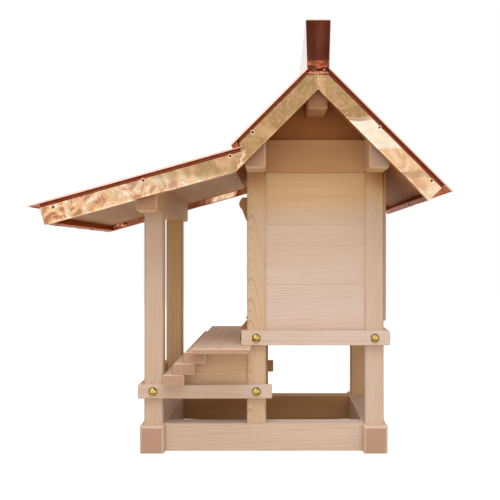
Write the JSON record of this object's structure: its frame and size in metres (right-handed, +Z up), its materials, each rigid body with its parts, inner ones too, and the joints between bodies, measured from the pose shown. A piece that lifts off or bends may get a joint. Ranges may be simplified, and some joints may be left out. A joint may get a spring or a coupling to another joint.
{
  "type": "small wayside shrine",
  "caption": "Small wooden wayside shrine with a closed hall, a porch with steps, a copper-clad roof steep over the hall and low over the porch, and a boxed ridge.",
  "frame": {"origin": "middle of the outline in plan, on the surface that the base stands on", "axes": "+Z up, the front with the steps and doors faces -Y, X runs across the front"},
  "size_m": [0.471, 0.57, 0.601],
  "materials": {
    "cypress": "planed, unpainted",
    "copper": "thin bright copper sheet, hand folded",
    "brass": "polished"
  },
  "bodies": {
    "root": {"base_front_beam": "cypress", "base_back_beam": "cypress", "base_side_beams": "cypress", "lower_front_rail": "cypress", "lower_side_rails": "cypress", "upper_front_rail": "cypress", "upper_back_rail": "cypress", "upper_side_rails": "cypress", "deck_board": "cypress", "bottom_step": "cypress", "middle_step": "cypress", "top_step": "cypress", "stair_side_boards": "cypress", "hall_floor": "cypress", "right_side_wall": "cypress", "left_side_wall": "cypress", "back_wall": "cypress", "tie_boards": "cypress", "gable_boards": "cypress", "door_head": "cypress", "right_door": "cypress", "left_door": "cypress", "door_pivot_blocks": "cypress", "porch_plate": "cypress", "hall_front_plate": "cypress", "hall_back_plate": "cypress", "ridge_purlin": "cypress", "front_roof_board": "cypress", "back_roof_board": "cypress", "porch_roof_board": "cypress", "front_right_post": "cypress", "front_left_post": "cypress", "middle_right_post": "cypress", "middle_left_post": "cypress", "back_right_post": "cypress", "back_left_post": "cypress", "front_verge_boards": "copper", "back_verge_boards": "copper", "porch_verge_boards": "copper", "porch_eave_board": "copper", "back_eave_board": "copper", "front_roof_sheet": "copper", "back_roof_sheet": "copper", "porch_roof_sheet": "copper", "ridge_box": "copper", "brass_studs": "brass"}
  },
  "joints": []
}
